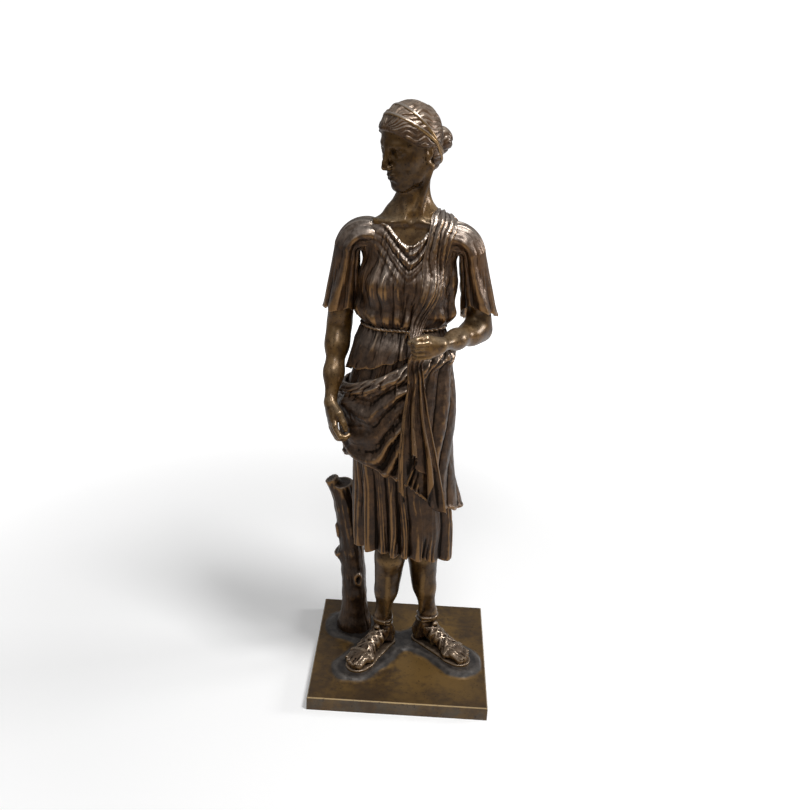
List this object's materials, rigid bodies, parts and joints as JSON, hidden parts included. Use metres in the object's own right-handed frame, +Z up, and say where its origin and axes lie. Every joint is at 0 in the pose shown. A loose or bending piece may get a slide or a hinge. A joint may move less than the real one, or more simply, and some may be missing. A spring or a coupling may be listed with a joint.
{
  "type": "standing figure statuette",
  "caption": "Bronze statuette of a standing draped woman beside a tree stump, on a square plinth, for display on a shelf or table.",
  "frame": {"origin": "centre of the plinth's underside", "axes": "+Z up along the figure; front towards -Y; +X towards the figure's left"},
  "size_m": [0.13, 0.13, 0.4201],
  "materials": {
    "dark_bronze": "cast bronze with a dark brown patina, near black in the folds and worn golden on the ridges",
    "rubbed_bronze": "cast bronze with a brown patina rubbed smooth and golden on skin, toes and knuckles",
    "plinth_bronze": "cast bronze plate with a mottled olive-brown patina and bright worn edges",
    "fixing_brass": "plain turned brass pins, studs, washers and nuts, dulled"
  },
  "bodies": {
    "root": {"plinth": "plinth_bronze", "tree_stump": "dark_bronze", "right_leg": "rubbed_bronze", "left_leg": "rubbed_bronze", "skirt": "dark_bronze", "bodice": "dark_bronze", "bust": "rubbed_bronze", "right_arm": "rubbed_bronze", "left_arm": "rubbed_bronze", "mantle": "dark_bronze", "shoulder_drape": "dark_bronze", "mantle_fall": "dark_bronze", "neck_pin": "fixing_brass", "arm_pins": "fixing_brass", "waist_pins": "fixing_brass", "leg_pins": "fixing_brass", "mantle_rivets": "fixing_brass", "foot_studs": "fixing_brass", "stump_stud": "fixing_brass", "stud_washers": "fixing_brass", "stud_nuts": "fixing_brass"}
  },
  "joints": []
}
